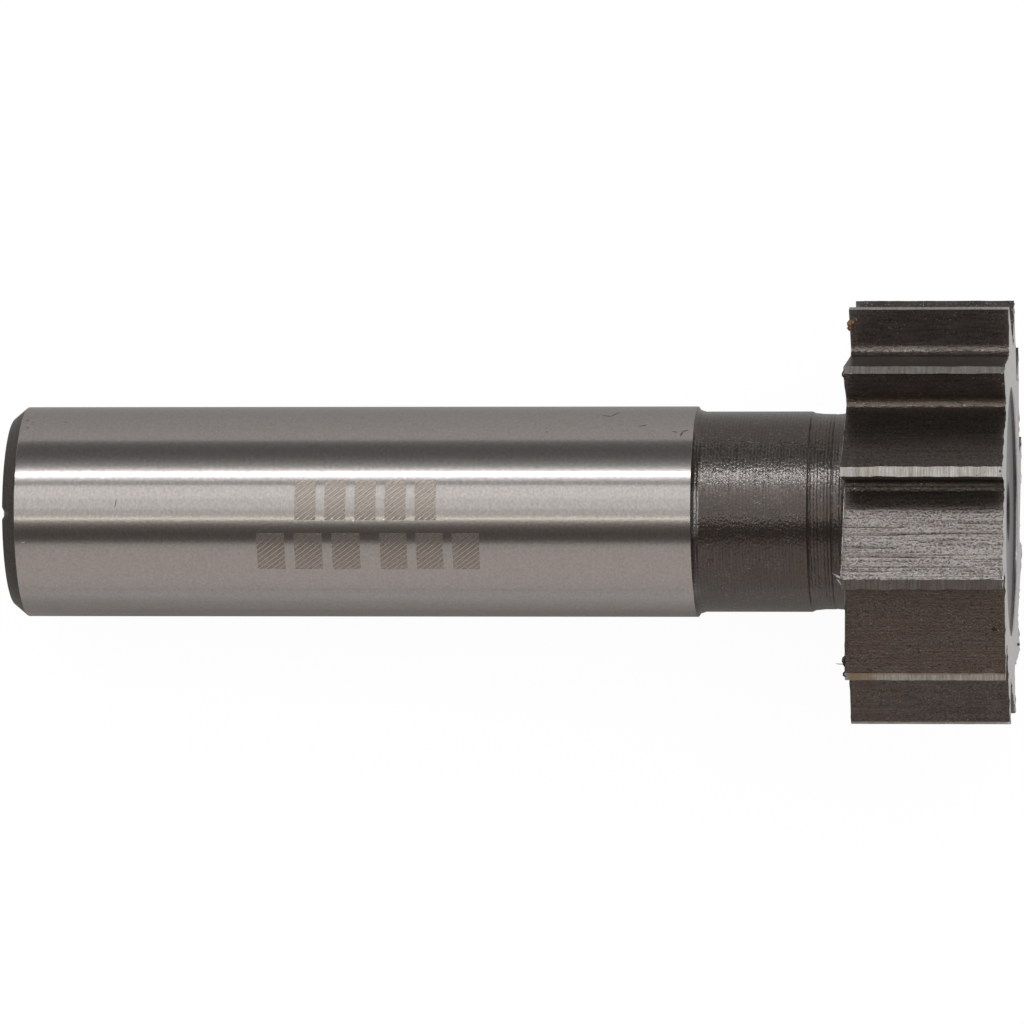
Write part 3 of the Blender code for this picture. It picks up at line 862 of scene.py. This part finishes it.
# what those zones share. a pattern is its features per mm, its detail, and the noise it fades in between. "torn" is
# the share of the bump where the scale is whole and where it is rubbed off, where the highlights are painted too.
# the bare colour also paints those highlights
scaledShared = {
    "grainDetail": 1.0, "toneSpan": (0.36, 0.64), "blotch": ((0.7, 0.9, 0.9), 3.0, (0.42, 0.66)), "stainShare": 0.8,
    "bareSpan": (0.3, 0.56), "bareColour": "#9E9995", "scaleColour": "#2B2623",
    "pits": ((5.5, 5.5, 5.5), 2.0, (0.6, 0.68)), "pitColour": "#231E1B",
    "clusters": ((0.9, 0.9, 0.9), 2.0, (0.42, 0.62)), "specks": ((10, 11, 11), 0.0, (0.68, 0.74)),
    "speckColour": "#A8A29A", "feedShare": 0.3, "feedColour": "#3A3532", "torn": (0.4, 1.2), "metallic": 0.82,
}
# long grooves the milling cutter tore in the backs, and rust in them, seen where the scale is rubbed off
groove = {"lines": ((0.06, 6.5, 1), 1.0, (0.58, 0.63)), "colour": "#51433D", "share": 0.4, "deep": 0.35,
          "rust": ((2.3, 3.2, 3.2), 2.0, (0.55, 0.66)), "rustColour": "#7A6054", "rustShare": 0.4}


def makeScaledSteel(name, look):
    # tone picks between two colours. over them lie brown patches, bare steel with the painted highlight stripes, thick
    # scale, pits and clustered specks, then the zone's own scratches, feed marks, rust and grooves. the bump is the
    # tone's plus the feed's times "ridge", less the grooves', and its height goes from the first share of "torn" to the
    # second as the bare-and-highlight value rises
    material, tree = newMaterial(name)
    place = steelCoordinates(tree)
    tone, toneShare = steelTone(tree, place, look, scaledShared)
    stained, bare, scaled = wearLayers(tree)
    blotch = noisePattern(tree, place, *scaledShared["blotch"], look["patch"])
    patches = addNode(tree, "Math", {
        0: stained, 1: scaledShared["stainShare"], 2: blotch}, operation="MULTIPLY_ADD")
    low, high = scaledShared["bareSpan"]
    # bare steel, and painted highlights on the neck and rim: the lighter colour where that value is high and the tone
    # allows
    bareAndHighlightShare = addNode(tree, "MapRange", {"Value": tone, "From Min": low, "From Max": high, "To Max": bare})
    pits = noisePattern(tree, place, *scaledShared["pits"], look["pit"])
    clusters = noisePattern(tree, place, *scaledShared["clusters"], look["speck"])
    specks = noisePattern(tree, place, *scaledShared["specks"], clusters)
    layers = [(look["light"], toneShare), (look["brown"], patches), (scaledShared["bareColour"], bareAndHighlightShare),
              (scaledShared["scaleColour"], scaled), (scaledShared["pitColour"], pits),
              (scaledShared["speckColour"], specks)]
    height = tone
    if name == "turnedNeck":
        layers.append((neckMarks["colour"], marksMask(tree, unrolled(tree, place, turning["neck"]), neckMarks)))
    if "feed" in look:
        feed = addNode(tree, "TexWave", {        # its bands lie a tenth of pi apart at a scale of 1
            "Vector": place, "Scale": math.pi / 10 / look["feed"], "Distortion": 1.0, "Detail": 2.0,
            "Detail Scale": 0.6}).outputs["Fac"]
        height = addNode(tree, "Math", {0: feed, 1: look["ridge"], 2: tone}, operation="MULTIPLY_ADD")
        layers.append((scaledShared["feedColour"], addNode(tree, "Math", {
            0: feed, 1: scaledShared["feedShare"]}, operation="MULTIPLY")))
    if name == "milledBack":
        along = addNode(tree, "SeparateXYZ", {"Vector": place}).outputs["X"]
        ruled = addNode(tree, "CombineXYZ", {"X": along, "Y": fromAxis(tree, place)})
        long = noisePattern(tree, ruled, *groove["lines"], bare)
        rustShare, longShare = (addNode(tree, "Math", {0: value, 1: share}, operation="MULTIPLY")
                                for value, share in ((bare, groove["rustShare"]), (long, groove["share"])))
        rust = noisePattern(tree, place, *groove["rust"], rustShare)
        layers += [(groove["rustColour"], rust), (groove["colour"], longShare)]
        height = addNode(tree, "Math", {0: long, 1: -groove["deep"], 2: tone}, operation="MULTIPLY_ADD")

    whole, torn = look.get("torn", scaledShared["torn"])
    bumpHeight = addNode(tree, "MapRange", {
        "Value": bare, "To Min": look["depth"] * mm * whole, "To Max": look["depth"] * mm * torn})
    bump = addNode(tree, "Bump", {"Height": height, "Strength": 1.0, "Distance": bumpHeight})
    shader = addNode(tree, "BsdfPrincipled", {
        "Base Color": layColours(tree, look["dark"], layers), "Metallic": scaledShared["metallic"],
        "Roughness": look["roughness"], "Normal": bump, "Coat Weight": look.get("oil", 0.0),
        "Coat Roughness": look.get("oilRoughness", 0.03), "Coat Normal": bump})
    addNode(tree, "OutputMaterial", {"Surface": shader})
    return material


# torn bright burrs, dark scaled ones, and crumbs of dried oil and swarf: two tones of noise and a lumpy bump
looseLooks = {
    "burrSteel": {"dark": "#8B8784", "light": "#D8D5D2", "metallic": 1.0, "roughness": 0.35},
    "burrDark": {"dark": "#1C1917", "light": "#5B5550", "metallic": 0.7, "roughness": 0.45},
    "brownCrumb": {"dark": "#5A4230", "light": "#B8926C", "metallic": 0.0, "roughness": 0.6},
}
looseGrain = {"perMm": (8, 8, 8), "span": (0.35, 0.65), "depth": 0.04 * mm}


def makeLoose(name, look):
    # one noise picks between the two colours and is the bump's height too
    material, tree = newMaterial(name)
    grain = noisePattern(tree, steelCoordinates(tree), looseGrain["perMm"])
    low, high = looseGrain["span"]
    share = addNode(tree, "MapRange", {"Value": grain, "From Min": low, "From Max": high})
    bump = addNode(tree, "Bump", {"Height": grain, "Strength": 1.0, "Distance": looseGrain["depth"]})
    shader = addNode(tree, "BsdfPrincipled", {
        "Base Color": layColours(tree, look["dark"], [(look["light"], share)]), "Metallic": look["metallic"],
        "Roughness": look["roughness"], "Normal": bump})
    addNode(tree, "OutputMaterial", {"Surface": shader})
    return material


finishes = {**scaledSteels, **groundSteels}
body = makeCutter()
for steelName, steelLook in finishes.items():
    makeSteel = makeScaledSteel if steelName in scaledSteels else makeGroundSteel
    body.data.materials.append(makeSteel(steelName, steelLook))
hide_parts("keyseat_cutter")
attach(body, "root")
print("cutter made,", len(body.data.polygons), "faces")

burrRandom = np.random.default_rng(faults["seed"])
for burrName, burrList in burrs.items():
    mesh = meshFromGrids(burrName, [burrGrid(burr, burrRandom, burrShape) for burr in burrList])
    mesh.materials.append(makeLoose(burrName, looseLooks[burrName]))
    mesh.shade_smooth()
    burrObject = bpy.data.objects.new(burrName, mesh)
    scene.collection.objects.link(burrObject)
    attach(burrObject, "root")
print("burrs made")
